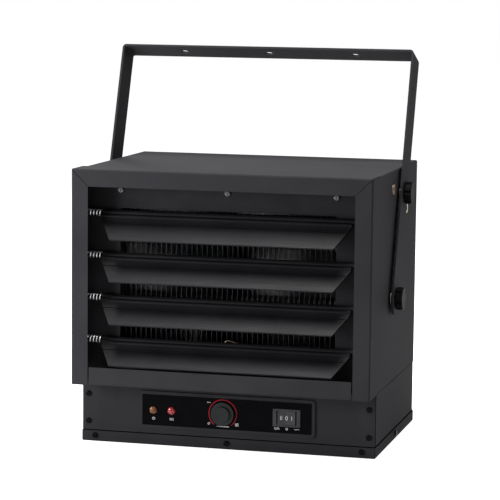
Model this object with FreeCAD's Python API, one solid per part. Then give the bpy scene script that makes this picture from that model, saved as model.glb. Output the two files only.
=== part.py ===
import FreeCAD
import Part

import math
import os

# A ceiling fan heater: a folded sheet casing with a mitred hood and four louvres, a control box
# under it and a tilting strap bracket over it. Millimetres, +Z up, the front faces -Y, and the
# origin is on the floor under the middle of the standing heater.

Vec = FreeCAD.Vector
AXIS_X = Vec(1, 0, 0)
AXIS_Y = Vec(0, 1, 0)
AXIS_Z = Vec(0, 0, 1)
SIDES = (-1, 1)

# Sheet and fits
sheet = 1.0  # thickness of the pressed panels
bend = 2.0  # outside radius of a fold
seam = 0.6  # open line between two panels that meet edge to edge
edge_gap = 0.3  # room round a panel that drops in between others
slip = 0.1  # radial room of a screw or a pushed-in part in its hole
running = 0.05  # radial room of a turning shaft
press = 0.02  # radial room of a pressed pin
flange = 14.0  # width of the turned-in edges of the casing

# Casing, hood and base
casing_width = 344.0
casing_depth = 229.0  # behind the hood
hood_height = 246.0
hood_depth = 39.0
hood_border = 19.5  # width of the hood's front face
hood_lap = 3.0  # how far the casing goes into the hood
base_height = 72.5  # floor to the hood's lower edge
tray_flange = 12.5
tray_bend = 1.5
rail_height = 20.5  # front rail under the louvres
rail_gap = 1.5  # from the front rail to the hood's legs

# Outlet behind the louvres
window_side = 46.0  # casing's side to the window
window_rise = 28.0  # hood's lower edge to the window
window_drop = 46.0  # hood's top to the window
outlet_screw_drop = 25.5  # hood's top to the screws
outlet_screw_inset = 46.7  # casing's side to the outer screws

# Louvres
louvre_count = 4
louvre_rise = 48.7  # hood's lower edge to the lowest axis
louvre_drop = 51.5  # hood's top to the highest axis
louvre_curl = 3.4  # outside radius of the hinge curl
louvre_bead = 3.2  # radius of the round bead in front of the curl
louvre_bead_reach = 5.5  # axis to the bead's middle
louvre_crest = 2.2  # where the web leaves the bead
louvre_web_end = 15.2  # axis to the end of the hollow web
louvre_groove_width = 1.6
louvre_groove = 0.7  # depth of the groove after the web
louvre_thick = 2.0
louvre_tilts = (40.5, 44.0, 44.0, 46.0)  # degrees below level as photographed, lowest first
louvre_rail_clear = 1.0  # blade's front edge to the rail's upper corner as it swings past
louvre_side_gap = 8.5  # blade's end to the hood's inner edge
louvre_end_cut = 16.3  # how much shorter the front edge is at each end
louvre_clear = 1.2  # curl to the outlet plate
pin_radius = 2.0
pin_depth = 15.0  # in the tube
carrier_stand = 6.0  # carrier to the hood's side wall
carrier_width = 16.0
carrier_spare = 15.0  # carrier beyond the end axes
spring_wire = 1.1
spring_radius = 3.6  # to the middle of the wire
spring_turns = 5
spring_lead = 2.5  # run from the straight end into the first turn
spring_points = 60  # measured in each turn
spring_gap = 0.1  # between a spring's end and what it meets

# Control panel
console_width = 207.7  # at its foot
console_height = 44.2
console_stand = 2.0  # how far it is pressed out of the control face
console_slope = 0.6  # how far its walls lean
console_corner = 4.5
console_drop = 1.3  # console under the middle of the control face
overlay_margin = 3.75
overlay_corner = 1.5
overlay_thick = 0.5
controls_rise = 0.1  # controls above the middle of the console
lamp_x = -85.9
lamp_pitch = 21.5
lamp_radius = 4.7
lamp_height = 3.6
lamp_round = 2.5
lamp_stem = 3.4
lamp_body_length = 22.0
knob_x = -4.0
knob_radius = 13.4
knob_skirt = 2.8
knob_boss_radius = 8.8
knob_height = 6.4
knob_gap = 0.4
dial_turn = 270.0
shaft_radius = 3.0
bush_radius = 4.8
thermostat_width = 40.0
thermostat_depth = 26.0
thermostat_height = 30.0
switch_x = 71.0
bezel_width = 32.0
bezel_thick = 2.0
bezel_height = 20.4
switch_body_inset = 1.0  # body narrower than the bezel, above and below
switch_body_side = 2.0  # and left and right
switch_depth = 22.0
rocker_width = 20.6
rocker_travel = 10.0  # degrees each way
rocker_proud = 0.6
rocker_axis_depth = 5.0
rocker_dish = 1.2
rocker_pin = 1.2
rocker_room = 0.3

# Screws
screw_head = 3.3
screw_head_height = 2.0
screw_shank = 1.7
screw_length = 7.0
screw_slot = 0.8
screw_slot_reach = 2.0  # half the length of the cross slot
panel_screw_inset = 7.0  # casing's side to the control face's screws
panel_screw_span = 31.8  # from the lower to the upper ones
panel_screw_drop = 2.8  # their middle under the middle of the control face
tray_screw_z = 7.2
tray_screw_inset = 15.0
back_screw_inset = 7.0

# Bracket
strap_width = 38.0
strap_thick = 2.5
strap_bend = 4.5
bracket_gap = 3.0  # strap to the casing's side
bracket_reach = 292.0  # pivot to the top of the band
bracket_tilt = 20.0
pivot_depth = 120.5  # hood's front face to the pivot
lock_radius = 125.0  # pivot to the lock holes
lock_edge = 21.5  # casing's top to the highest lock hole
lock_step = 20.0  # degrees from one lock hole to the next
ceiling_hole = 5.25
ceiling_span = 104.5
leg_hole = 2.0
leg_hole_reach = 250.0
hand_knob_radius = 13.0
hand_knob_thick = 8.4
hand_knob_hub = 8.0
hand_knob_hub_height = 0.6
hand_knob_lobes = 7
hand_knob_flute = 2.6
pivot_stud = 4.0
lock_stud = 3.0
stud_clear = 0.4  # lock stud to the inserts that it passes
insert_wall = 1.5
insert_flange = 1.6  # flange beyond the barrel
insert_flange_height = 1.0
insert_length = 12.0
spacer_radius = 10.0
spacer_gap = 0.2

# Heater core
fin_pitch = 6.0
fin_inset = 3.0  # window's side to the outer fins
fin_thick = 0.5
fin_depth = 40.0
fin_lap = 6.0  # fins beyond the window, above and below
core_gap = 12.0  # outlet plate to the fins
element_radius = 4.2
element_count = 3
element_tail = 9.0  # tube beyond the end plates
terminal_radius = 2.0
terminal_length = 10.0
end_plate_gap = 4.0
end_plate_flange = 12.0
cutout_radius = 8.0
cutout_height = 10.0
bulb_radius = 4.0
bulb_length = 50.0
bulb_gap = 0.2
capillary_radius = 1.0
capillary_bend = 4.0
capillary_drop = 60.7  # crest under the window's middle
capillary_slant = 14.6
capillary_lead = 40.0  # crest to the bulb

# Fan
inlet_lap = 5.0  # inlet's edge beyond the fan
fan_hub = 28.0
fan_hub_length = 26.0
blade_count = 5
blade_thick = 1.6
blade_root_radius = 19.6  # sunk in the hub
blade_root_chord = 34.0
blade_tip_chord = 62.0
blade_root_angle = 42.0
blade_tip_angle = 24.0
fan_guard_gap = 14.0  # hub to the guard
guard_wire = 1.3
guard_rings = 6
guard_inner = 22.0
guard_overlap = 4.0  # outer ring beyond the inlet
guard_spokes = 8
motor_radius = 40.0
motor_length = 50.0
motor_boss = 11.0
motor_boss_length = 6.0
motor_gap = 3.0  # boss to hub
motor_shaft = 4.0
motor_screw_circle = 28.0
bracket_sheet = 1.5
motor_bracket_width = 44.0
motor_bracket_leg = 14.0  # fan's edge to the bracket's leg
motor_bracket_foot = 15.5
motor_bracket_end = 3.0  # foot to the chamber's top and floor

# Wiring box
terminal_block_length = 60.0
terminal_block_depth = 16.0
terminal_block_height = 20.0
terminal_block_x = 90.0
terminal_ways = 4
terminal_screw_radius = 3.0
terminal_screw_depth = 3.0
gland_bore = 7.0
gland_radius = 11.0
gland_flange = 15.0
gland_flange_height = 6.0
gland_nut_height = 5.0
gland_length = 16.0
gland_back = 50.0  # back to the gland

# Places worked out from the sizes
half = casing_width / 2
hood_half = half + sheet
opening_half = hood_half - hood_border
front_y = -(hood_depth + casing_depth + screw_head_height) / 2
panel_y = front_y + hood_depth
back_y = panel_y + casing_depth
wrap_front = panel_y - hood_lap
outlet_y = wrap_front - sheet
seam_z = base_height
top_z = base_height + hood_height
casing_top = top_z - sheet
chamber_z = (seam_z + casing_top) / 2
wall_x = half - sheet
lower_back = back_y - sheet
back_panel_y = back_y - 2 * sheet
console_y = panel_y - console_stand
overlay_y = console_y - overlay_thick
inside_y = console_y + sheet
box_z = (base_height + tray_flange) / 2
console_z = box_z - console_drop
controls_z = console_z + controls_rise
window_width = 2 * (half - window_side)
window_height = hood_height - window_rise - window_drop
window_z = seam_z + window_rise + window_height / 2
louvre_pitch = (hood_height - louvre_rise - louvre_drop) / (louvre_count - 1)
louvre_y = outlet_y - louvre_clear - louvre_curl
rail_reach = math.hypot(louvre_y - front_y - sheet, louvre_rise - rail_height)
louvre_reach = rail_reach - louvre_rail_clear
blade_half = opening_half - louvre_side_gap
carrier_x = half - carrier_stand
strap_inner = half + bracket_gap
strap_outer = strap_inner + strap_thick
pivot = Vec(0, front_y + pivot_depth, casing_top - lock_edge - lock_radius)
core_front = outlet_y + sheet + core_gap
core_y = core_front + fin_depth / 2
fin_count = 1 + math.floor((window_width - 2 * fin_inset) / fin_pitch + press)
fin_half = (fin_count - 1) * fin_pitch / 2
fin_height = window_height + 2 * fin_lap
element_spacing = fin_height / (2 * element_count)
end_plate_x = fin_half + end_plate_gap
motor_bracket_reach = (casing_top - seam_z) / 2 - motor_bracket_end
fan_radius = motor_bracket_reach - motor_bracket_foot - motor_bracket_leg
inlet_radius = fan_radius + inlet_lap
fan_back = back_panel_y - fan_guard_gap
fan_front = fan_back - fan_hub_length
motor_back = fan_front - motor_gap - motor_boss_length
motor_front = motor_back - motor_length


def box(x0, x1, y0, y1, z0, z1):
    return Part.makeBox(x1 - x0, y1 - y0, z1 - z0, Vec(x0, y0, z0))


def rod(radius, start, end):
    return Part.makeCylinder(radius, (end - start).Length, start, end - start)


def on_yz(u, v):
    return Vec(0, u, v)


def on_xz(u, v):
    return Vec(u, 0, v)


def on_xy(u, v):
    return Vec(u, v, 0)


def mirrored(shape):
    return shape.mirror(Vec(0, 0, 0), AXIS_X)


def corner_arc(before, corner, after, radius):
    """The two ends and the middle of an arc that rounds one corner."""
    inward = (before - corner).normalize()
    outward = (after - corner).normalize()
    half_angle = inward.getAngle(outward) / 2
    reach = radius / math.tan(half_angle)
    middle = (inward + outward).normalize() * (radius / math.sin(half_angle) - radius)
    return corner + inward * reach, corner + middle, corner + outward * reach


def rounded_edges(points, radii):
    """Lines through the points, with an arc at each inner corner whose radius isn't zero."""
    edges = []
    start = points[0]
    for before, corner, after, radius in zip(points, points[1:], points[2:], radii):
        if radius > 0:
            first, middle, last = corner_arc(before, corner, after, radius)
            edges.append(Part.LineSegment(start, first).toShape())
            edges.append(Part.Arc(first, middle, last).toShape())
            start = last
        else:
            edges.append(Part.LineSegment(start, corner).toShape())
            start = corner
    edges.append(Part.LineSegment(start, points[-1]).toShape())
    return edges


def rounded_loop(points, radius):
    """A closed outline with every corner rounded alike, started in the middle of a side."""
    start = (points[0] + points[-1]) * 0.5
    path = [start] + points + [start]
    return Part.Wire(Part.__sortEdges__(rounded_edges(path, [radius] * len(points))))


def polygon_face(points):
    return Part.Face(Part.makePolygon(points + points[:1]))


def folded(points, thick, radius, place, run):
    """A folded sheet: the path is its outer side, the metal is on the left, pushed along run."""
    flat = [Vec(u, v, 0) for u, v in points]
    ways = [(b - a).normalize() for a, b in zip(flat, flat[1:])]
    lefts = [Vec(-way.y, way.x, 0) for way in ways]
    inner = [flat[0] + lefts[0] * thick]
    outer_radii = []
    inner_radii = []
    for corner, left, following, way in zip(flat[1:], lefts, lefts[1:], ways):
        inner.append(corner + (left + following) * (thick / (1 + left.dot(following))))
        turns_left = way.dot(following) < 0
        outer_radii.append(radius if turns_left else radius - thick)
        inner_radii.append(radius - thick if turns_left else radius)
    inner.append(flat[-1] + lefts[-1] * thick)
    outer = [place(p.x, p.y) for p in flat]
    inner = [place(p.x, p.y) for p in inner]
    edges = rounded_edges(outer, outer_radii) + rounded_edges(inner, inner_radii)
    edges.append(Part.LineSegment(outer[0], inner[0]).toShape())
    edges.append(Part.LineSegment(outer[-1], inner[-1]).toShape())
    return Part.Face(Part.Wire(Part.__sortEdges__(edges))).extrude(run)


def rounded_plate(width, height, corner, y0, y1, z_mid):
    """An upright plate with rounded corners, centred on x = 0."""
    x = width / 2
    low = z_mid - height / 2
    high = z_mid + height / 2
    points = [Vec(-x, y0, low), Vec(x, y0, low), Vec(x, y0, high), Vec(-x, y0, high)]
    return Part.Face(rounded_loop(points, corner)).extrude(AXIS_Y * (y1 - y0))


def drill(shape, radius, points, way, depth):
    """Round holes through a shape, each centred on its point and cut both ways by depth."""
    tools = [rod(radius, point - way * depth, point + way * depth) for point in points]
    return shape.cut(tools)


def screw_group(points, way):
    """Pan-head screws whose heads sit on the points; way runs from the head into the metal."""
    solids = []
    for point in points:
        shank = rod(screw_shank, point - way * press, point + way * screw_length)
        head = rod(screw_head, point - way * screw_head_height, point)
        crown = [edge for edge in head.Edges if abs((edge.CenterOfMass - point).dot(way)) > press]
        crown = [edge for edge in crown if edge.Closed]
        head = head.makeFillet(screw_head_height / 2, crown)
        across = AXIS_Z
        beside = across.cross(way)
        slots = [slot_bar(point - way * screw_head_height, way, first, second)
                 for first, second in ((across, beside), (beside, across))]
        solids.append(head.fuse(shank).cut(slots))
    return solids


def slot_bar(top, way, along, beside):
    """One bar of a cross slot, sunk half a head deep."""
    reach = screw_slot_reach
    wide = screw_slot / 2
    corners = [top + along * a + beside * b
               for a, b in ((-reach, -wide), (reach, -wide), (reach, wide), (-reach, wide))]
    return polygon_face(corners).extrude(way * (screw_head_height / 2))


def panel_screws():
    x = half - panel_screw_inset
    middle = box_z - panel_screw_drop
    levels = [middle + side * panel_screw_span / 2 for side in SIDES]
    return [Vec(side * x, panel_y, z) for side in SIDES for z in levels]


def tray_front_screws():
    x = half - tray_screw_inset
    return [Vec(place, panel_y - sheet, tray_screw_z) for place in (-x, 0, x)]


def tray_back_screws():
    return [Vec(side * (half - tray_screw_inset), back_y, tray_screw_z) for side in SIDES]


def tray_side_screws(side):
    return [Vec(side * hood_half, (panel_y + back_y) / 2, tray_screw_z)]


def outlet_screws():
    x = half - outlet_screw_inset
    return [Vec(place, outlet_y, top_z - outlet_screw_drop) for place in (-x, 0, x)]


def back_screws():
    x = half - back_screw_inset
    high = casing_top - back_screw_inset
    low = seam_z + back_screw_inset
    points = [Vec(side * x, back_y, z) for side in SIDES for z in (low, chamber_z, high)]
    return points + [Vec(0, back_y, high)]


def motor_screws():
    reach = motor_screw_circle / math.sqrt(2)
    y = motor_front - bracket_sheet
    return [Vec(0, y, chamber_z + side * reach) for side in SIDES]


def lock_points(side):
    angles = [math.radians(step * lock_step) for step in range(3)]
    return [pivot + Vec(side * half, lock_radius * math.sin(a), lock_radius * math.cos(a))
            for a in angles]


def pivot_point(side):
    return pivot + AXIS_X * (side * half)


def louvre_axis(index):
    return Vec(0, louvre_y, seam_z + louvre_rise + index * louvre_pitch)


def casing_wrap():
    low = seam_z + seam / 2
    path = [(half, low), (half, casing_top), (-half, casing_top), (-half, low)]
    wrap = folded(path, sheet, bend, on_xz, AXIS_Y * (back_y - wrap_front))
    wrap.translate(AXIS_Y * wrap_front)
    for y in (wrap_front, back_y - sheet):
        edge = box(-wall_x, wall_x, y, y + sheet, low, casing_top - sheet)
        inside = half - flange
        edge = edge.cut(box(-inside, inside, y, y + sheet, low, casing_top - flange))
        wrap = wrap.fuse(edge)
    wrap = drill(wrap.removeSplitter(), screw_shank + slip, outlet_screws(), AXIS_Y, screw_length)
    wrap = drill(wrap, screw_shank + slip, back_screws(), AXIS_Y, 2 * sheet)
    for side in SIDES:
        wrap = drill(wrap, pivot_stud + insert_wall + slip, [pivot_point(side)], AXIS_X, 2 * sheet)
        wrap = drill(wrap, lock_stud + insert_wall + slip, lock_points(side), AXIS_X, 2 * sheet)
    return wrap


def back_panel():
    low = seam_z + seam / 2
    high = casing_top - sheet - edge_gap
    panel = rounded_plate(2 * (wall_x - edge_gap), high - low, bend, back_panel_y, lower_back,
                          (low + high) / 2)
    panel = drill(panel, screw_shank + slip, back_screws(), AXIS_Y, 3 * sheet)
    return drill(panel, inlet_radius, [Vec(0, back_panel_y, chamber_z)], AXIS_Y, 2 * sheet)


def fan_guard():
    """Wire rings and a star of spokes welded across them, inside the round inlet."""
    outer = inlet_radius + guard_overlap
    ring_y = back_panel_y - guard_wire - edge_gap
    spoke_y = ring_y - 2 * guard_wire - press
    step = (outer - guard_inner) / (guard_rings - 1)
    wires = [Part.makeTorus(guard_inner + step * i, guard_wire, Vec(0, ring_y, chamber_z), AXIS_Y)
             for i in range(guard_rings)]
    for i in range(guard_spokes):
        angle = 2 * math.pi * (i + 0.5) / guard_spokes
        way = Vec(math.sin(angle), 0, math.cos(angle))
        middle = Vec(0, spoke_y, chamber_z)
        wires.append(rod(guard_wire, middle + way * guard_inner, middle + way * outer))
    return wires


def mitre_cut(side, keep_top):
    """A block on one side of the mitre at a top corner of the hood."""
    away = hood_height
    corner = Vec(side * hood_half, front_y - sheet, top_z)
    along = Vec(-side, 0, -1).normalize()
    off = Vec(-side, 0, 1).normalize() * (1 if keep_top else -1)
    start = corner - along * away - off * (away - seam / 2)
    points = [start, start + along * 3 * away, start + along * 3 * away + off * away,
              start + off * away]
    return polygon_face(points).extrude(AXIS_Y * (hood_depth + 2 * sheet))


def hood_top_rail():
    low = top_z - hood_border
    path = [(front_y, low), (front_y, top_z), (panel_y, top_z)]
    rail = folded(path[::-1], sheet, bend, on_yz, AXIS_X * (2 * hood_half))
    rail.translate(AXIS_X * -hood_half)
    return rail.cut([mitre_cut(side, True) for side in SIDES])


def hood_right_rail():
    inner = hood_half - hood_border
    path = [(hood_half, panel_y), (hood_half, front_y), (inner, front_y)]
    rail = folded(path[::-1], sheet, bend, on_xy, AXIS_Z * hood_height)
    rail.translate(AXIS_Z * seam_z)
    return rail.cut(mitre_cut(1, False))


def louvre_carrier():
    """The upright angle that holds the louvre pins on the right."""
    path = [(carrier_x, outlet_y - carrier_width), (carrier_x, outlet_y), (half - edge_gap, outlet_y)]
    low = louvre_axis(0).z - carrier_spare
    high = louvre_axis(louvre_count - 1).z + carrier_spare
    angle = folded(path[::-1], sheet, bend, on_xy, AXIS_Z * (high - low))
    angle.translate(AXIS_Z * low)
    holes = [louvre_axis(i) + AXIS_X * carrier_x for i in range(louvre_count)]
    return drill(angle, pin_radius + running, holes, AXIS_X, 2 * sheet)


def outlet_plate():
    low = seam_z + sheet + edge_gap
    high = top_z - sheet - edge_gap
    x = half - edge_gap
    plate = box(-x, x, outlet_y, wrap_front, low, high)
    hole = rounded_plate(window_width, window_height, bend, outlet_y, wrap_front, window_z)
    return drill(plate.cut(hole), screw_shank + slip, outlet_screws(), AXIS_Y, 2 * sheet)


def console_block(foot_y, face_y, inset):
    """A block with leaning walls, widest at its foot; a positive inset makes it smaller all round."""
    loops = []
    for y, shrink in ((foot_y, inset), (face_y, inset + console_slope)):
        x = console_width / 2 - shrink
        z = console_height / 2 - shrink
        points = [Vec(-x, y, console_z - z), Vec(x, y, console_z - z),
                  Vec(x, y, console_z + z), Vec(-x, y, console_z + z)]
        loops.append(rounded_loop(points, console_corner - shrink))
    return Part.makeLoft(loops, True, True)


def lamp_points(y):
    return [Vec(lamp_x + i * lamp_pitch, y, controls_z) for i in range(2)]


def switch_block(grow, y0, y1):
    """The switch's body as a block, grown for its hole."""
    x = bezel_width / 2 - switch_body_side + grow
    z = bezel_height / 2 - switch_body_inset + grow
    return box(switch_x - x, switch_x + x, y0, y1, controls_z - z, controls_z + z)


def control_holes(shape):
    """Holes for the lamps, the thermostat's bush and the switch."""
    shape = drill(shape, lamp_stem + slip, lamp_points(console_y), AXIS_Y, 2 * sheet)
    shape = drill(shape, bush_radius + slip, [Vec(knob_x, console_y, controls_z)], AXIS_Y, 2 * sheet)
    return shape.cut(switch_block(slip, overlay_y - sheet, inside_y + sheet))


def front_panel():
    """Control face, shelf and front rail, folded from one sheet, with the console pressed out."""
    path = [(front_y, seam_z + rail_height), (front_y, seam_z), (panel_y, seam_z), (panel_y, sheet)]
    panel = folded(path, sheet, bend, on_yz, AXIS_X * (2 * half))
    panel.translate(AXIS_X * -half)
    rail_half = opening_half - rail_gap
    for side in SIDES:
        x0, x1 = sorted((side * rail_half, side * (half + sheet)))
        panel = panel.cut(box(x0, x1, front_y - sheet, panel_y + 2 * bend, seam_z - seam / 2,
                              seam_z + rail_height + sheet))
    panel = panel.fuse(console_block(panel_y + sheet, console_y, 0))
    panel = panel.cut(console_block(panel_y + 2 * sheet, inside_y, sheet))
    panel = control_holes(panel.removeSplitter())
    holes = panel_screws() + tray_front_screws()
    return drill(panel, screw_shank + slip, holes, AXIS_Y, 3 * sheet)


def lower_casing():
    front = panel_y + sheet
    path = [(half - flange, front), (half, front), (half, lower_back), (-half, lower_back),
            (-half, front), (flange - half, front)]
    high = seam_z - seam / 2
    wall = folded(path, sheet, bend, on_xy, AXIS_Z * (high - sheet))
    wall.translate(AXIS_Z * sheet)
    holes = panel_screws() + tray_front_screws() + tray_back_screws()
    wall = drill(wall, screw_shank + slip, holes, AXIS_Y, 4 * sheet)
    for side in SIDES:
        wall = drill(wall, screw_shank + slip, tray_side_screws(side), AXIS_X, 4 * sheet)
    return drill(wall, gland_radius + slip, [gland_point()], AXIS_X, 2 * sheet)


def partition_plate():
    """Floor of the hot chamber, turned up at both sides inside the casing."""
    low = seam_z - seam / 2 - sheet
    path = [(-wall_x, low + flange), (-wall_x, low), (wall_x, low), (wall_x, low + flange)]
    start = panel_y + 2 * sheet + edge_gap
    plate = folded(path, sheet, bend, on_xz, AXIS_Y * (back_panel_y - edge_gap - start))
    plate.translate(AXIS_Y * start)
    return drill(plate, capillary_radius + slip, [capillary_points()[2]], AXIS_Z, 4 * flange)


def base_tray():
    tray = box(-hood_half, hood_half, panel_y - sheet, back_y, 0, tray_flange)
    low = [edge for edge in tray.Edges if edge.CenterOfMass.z < tray_flange - sheet]
    tray = tray.makeFillet(tray_bend, low)
    tray = tray.cut(box(-half, half, panel_y, lower_back, sheet, tray_flange + sheet))
    holes = tray_front_screws() + tray_back_screws()
    tray = drill(tray, screw_shank + slip, holes, AXIS_Y, 2 * sheet)
    for side in SIDES:
        tray = drill(tray, screw_shank + slip, tray_side_screws(side), AXIS_X, 2 * sheet)
    return tray


def control_overlay():
    shrink = 2 * (console_slope + overlay_margin)
    plate = rounded_plate(console_width - shrink, console_height - shrink, overlay_corner,
                          overlay_y, console_y, console_z)
    return control_holes(plate)


def lamp_lens(index):
    """A domed lens with a stem that goes through the panel."""
    seat = lamp_points(overlay_y)[index]
    dome = rod(lamp_radius, seat - AXIS_Y * lamp_height, seat)
    rim = [edge for edge in dome.Edges if edge.Closed and edge.CenterOfMass.y < seat.y - press]
    dome = dome.makeFillet(lamp_round, rim)
    return dome.fuse(rod(lamp_stem, seat - AXIS_Y * press, seat + AXIS_Y * (inside_y - overlay_y)))


def lamp_bodies():
    return [rod(lamp_radius, point, point + AXIS_Y * lamp_body_length) for point in lamp_points(inside_y)]


def rocker_axis():
    return Vec(switch_x, overlay_y + rocker_axis_depth, controls_z)


def rocker_half_height():
    return bezel_height / 2 - switch_body_inset - sheet - rocker_room


def switch_housing():
    x = bezel_width / 2
    z = bezel_height / 2
    face = overlay_y - bezel_thick
    bezel = box(switch_x - x, switch_x + x, face, overlay_y, controls_z - z, controls_z + z)
    corners = [edge for edge in bezel.Edges if edge.CenterOfMass.y < overlay_y - bezel_thick / 4]
    rim = [edge for edge in corners if abs(edge.CenterOfMass.y - face) < press]
    bezel = bezel.makeFillet(sheet / 2, rim)
    housing = bezel.fuse(switch_block(0, overlay_y - press, overlay_y + switch_depth))
    axis = rocker_axis()
    corner_x = rocker_width / 2
    corner_y = axis.y - face + rocker_proud
    turn = math.radians(rocker_travel)
    room_x = corner_x * math.cos(turn) + corner_y * math.sin(turn) + rocker_room
    room_z = rocker_half_height() + rocker_room
    back = axis.y + rocker_axis_depth + corner_x * math.sin(turn)
    housing = housing.cut(box(axis.x - room_x, axis.x + room_x, face - sheet, back,
                              axis.z - room_z, axis.z + room_z))
    return drill(housing, rocker_pin + running, [axis], AXIS_Z, bezel_height)


def rocker():
    """A dished rocker key on an upright pin, in its middle position."""
    axis = rocker_axis()
    x = rocker_width / 2
    front = -(rocker_axis_depth + bezel_thick + rocker_proud)
    outline = [(-x, front), (0, front + rocker_dish), (x, front), (x, front / 3),
               (x / 2, rocker_axis_depth / 2), (-x / 2, rocker_axis_depth / 2), (-x, front / 3)]
    low = axis - AXIS_Z * rocker_half_height()
    key = polygon_face([low + Vec(u, v, 0) for u, v in outline])
    key = key.extrude(AXIS_Z * (2 * rocker_half_height()))
    reach = AXIS_Z * (rocker_half_height() + rocker_room + sheet)
    return key.fuse(rod(rocker_pin, axis - reach, axis + reach)).removeSplitter()


def knob_seat():
    return Vec(knob_x, overlay_y, controls_z)


def thermostat_body():
    x0 = knob_x - thermostat_width / 2
    z0 = controls_z - thermostat_height / 2
    body = box(x0, x0 + thermostat_width, inside_y, inside_y + thermostat_depth, z0, z0 + thermostat_height)
    back = knob_seat() + AXIS_Y * (inside_y - overlay_y + press)
    body = body.fuse(rod(bush_radius, knob_seat(), back))
    return drill(body, shaft_radius + running, [knob_seat()], AXIS_Y, thermostat_depth)


def thermostat_shaft():
    front = knob_seat() - AXIS_Y * (knob_height - knob_skirt / 2)
    return rod(shaft_radius, front, knob_seat() + AXIS_Y * (thermostat_depth - sheet))


def thermostat_knob():
    """A low disc with a raised grip and a pointer groove that rests at the lower left."""
    back = knob_seat() - AXIS_Y * knob_gap
    front = knob_seat() - AXIS_Y * knob_height
    skirt = rod(knob_radius, back - AXIS_Y * knob_skirt, back)
    grip = rod(knob_boss_radius, front, back)
    knob = skirt.fuse(grip)
    groove = box(knob_x - screw_slot / 2, knob_x + screw_slot / 2, front.y - sheet,
                 front.y + overlay_thick, controls_z, controls_z + knob_radius)
    groove.rotate(knob_seat(), AXIS_Y, -dial_turn / 2)
    bore = rod(shaft_radius + press, knob_seat() - AXIS_Y * (knob_height - knob_skirt / 2), back)
    return knob.cut([groove, bore])


def capillary_points():
    """The route of the capillary: up a slant from the bulb to its crest, then down to the thermostat."""
    crest = Vec(knob_x, core_front - bulb_radius - bulb_gap, window_z - capillary_drop)
    slant = math.radians(capillary_slant)
    along = Vec(math.cos(slant), 0, -math.sin(slant))
    end = Vec(knob_x, crest.y, controls_z + thermostat_height / 2)
    return [crest + along * capillary_lead, crest, end]


def capillary_bulb():
    start, corner, end = capillary_points()
    path = Part.Wire(rounded_edges([start, corner, end], [capillary_bend]))
    along = (start - corner).normalize()
    ring = Part.Wire(Part.makeCircle(capillary_radius, start, along))
    tube = path.makePipeShell([ring], True, False)
    return tube.fuse(rod(bulb_radius, start - along * press, start + along * bulb_length))


def element_levels(index):
    middle = window_z + (index - (element_count - 1) / 2) * 2 * element_spacing
    return middle - element_spacing / 2, middle + element_spacing / 2


def heating_element(index):
    """One hairpin tube with a bend on the left and two terminals on the right."""
    low, high = element_levels(index)
    right = end_plate_x + sheet + element_tail
    points = [Vec(right, core_y, low), Vec(-right, core_y, low)]
    bend_x = -right - element_spacing / 2
    arc = Part.Arc(points[1], Vec(bend_x, core_y, (low + high) / 2), Vec(-right, core_y, high))
    edges = [Part.LineSegment(*points).toShape(), arc.toShape(),
             Part.LineSegment(Vec(-right, core_y, high), Vec(right, core_y, high)).toShape()]
    ring = Part.Wire(Part.makeCircle(element_radius, points[0], AXIS_X))
    tube = Part.Wire(edges).makePipeShell([ring], True, False)
    for z in (low, high):
        end = Vec(right, core_y, z)
        tube = tube.fuse(rod(terminal_radius, end - AXIS_X * press, end + AXIS_X * terminal_length))
    return tube


def core_holes(x):
    return [Vec(x, core_y, z) for i in range(element_count) for z in element_levels(i)]


def heater_fins():
    low = window_z - fin_height / 2
    fin = box(-fin_thick / 2, fin_thick / 2, core_front, core_front + fin_depth, low, low + fin_height)
    fin = drill(fin, element_radius + slip, core_holes(0), AXIS_X, fin_thick)
    fins = []
    for i in range(fin_count):
        copy = fin.copy()
        copy.translate(AXIS_X * (i * fin_pitch - fin_half))
        fins.append(copy)
    return fins


def element_plates():
    """Two upright angles behind the outlet plate that carry the tubes."""
    low = window_z - fin_height / 2
    path = [(end_plate_x + end_plate_flange, wrap_front), (end_plate_x, wrap_front),
            (end_plate_x, core_front + fin_depth)]
    angle = folded(path[::-1], sheet, bend, on_xy, AXIS_Z * fin_height)
    angle.translate(AXIS_Z * low)
    angle = drill(angle, element_radius + slip, core_holes(end_plate_x), AXIS_X, 2 * sheet)
    return [angle, mirrored(angle)]


def thermal_cutout():
    level = (element_levels(element_count - 1)[0] + element_levels(element_count - 1)[1]) / 2
    start = Vec(end_plate_x + sheet, core_y + fin_depth / 4, level)
    body = rod(cutout_radius, start, start + AXIS_X * cutout_height)
    tip = start + AXIS_X * cutout_height
    for side in SIDES:
        foot = tip + AXIS_Z * (side * cutout_radius / 2)
        body = body.fuse(rod(terminal_radius, foot - AXIS_X * press, foot + AXIS_X * terminal_length / 2))
    return body


def fan_point(y):
    return Vec(0, y, chamber_z)


def motor_bracket():
    """A hat-shaped strap from the back panel round the fan, with the motor on its bridge."""
    leg = fan_radius + motor_bracket_leg
    foot = motor_bracket_reach
    ends = [(back_panel_y, chamber_z - foot), (back_panel_y, chamber_z - leg)]
    bridge = [(motor_front, chamber_z - leg), (motor_front, chamber_z + leg)]
    more = [(back_panel_y, chamber_z + leg), (back_panel_y, chamber_z + foot)]
    strap = folded(ends + bridge + more, bracket_sheet, 2 * bracket_sheet, on_yz,
                   AXIS_X * motor_bracket_width)
    strap.translate(AXIS_X * (-motor_bracket_width / 2))
    return drill(strap, screw_shank + slip, motor_screws() + back_screws(), AXIS_Y, screw_length)


def fan_motor():
    body = rod(motor_radius, fan_point(motor_front), fan_point(motor_back))
    rims = [edge for edge in body.Edges if edge.Closed]
    body = body.makeFillet(bend, rims)
    boss = rod(motor_boss, fan_point(motor_back - press), fan_point(motor_back + motor_boss_length))
    body = body.fuse(boss)
    body = drill(body, motor_shaft + running, [fan_point(motor_back)], AXIS_Y, motor_length - sheet)
    return drill(body, screw_shank + slip, motor_screws(), AXIS_Y, screw_length)


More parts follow.
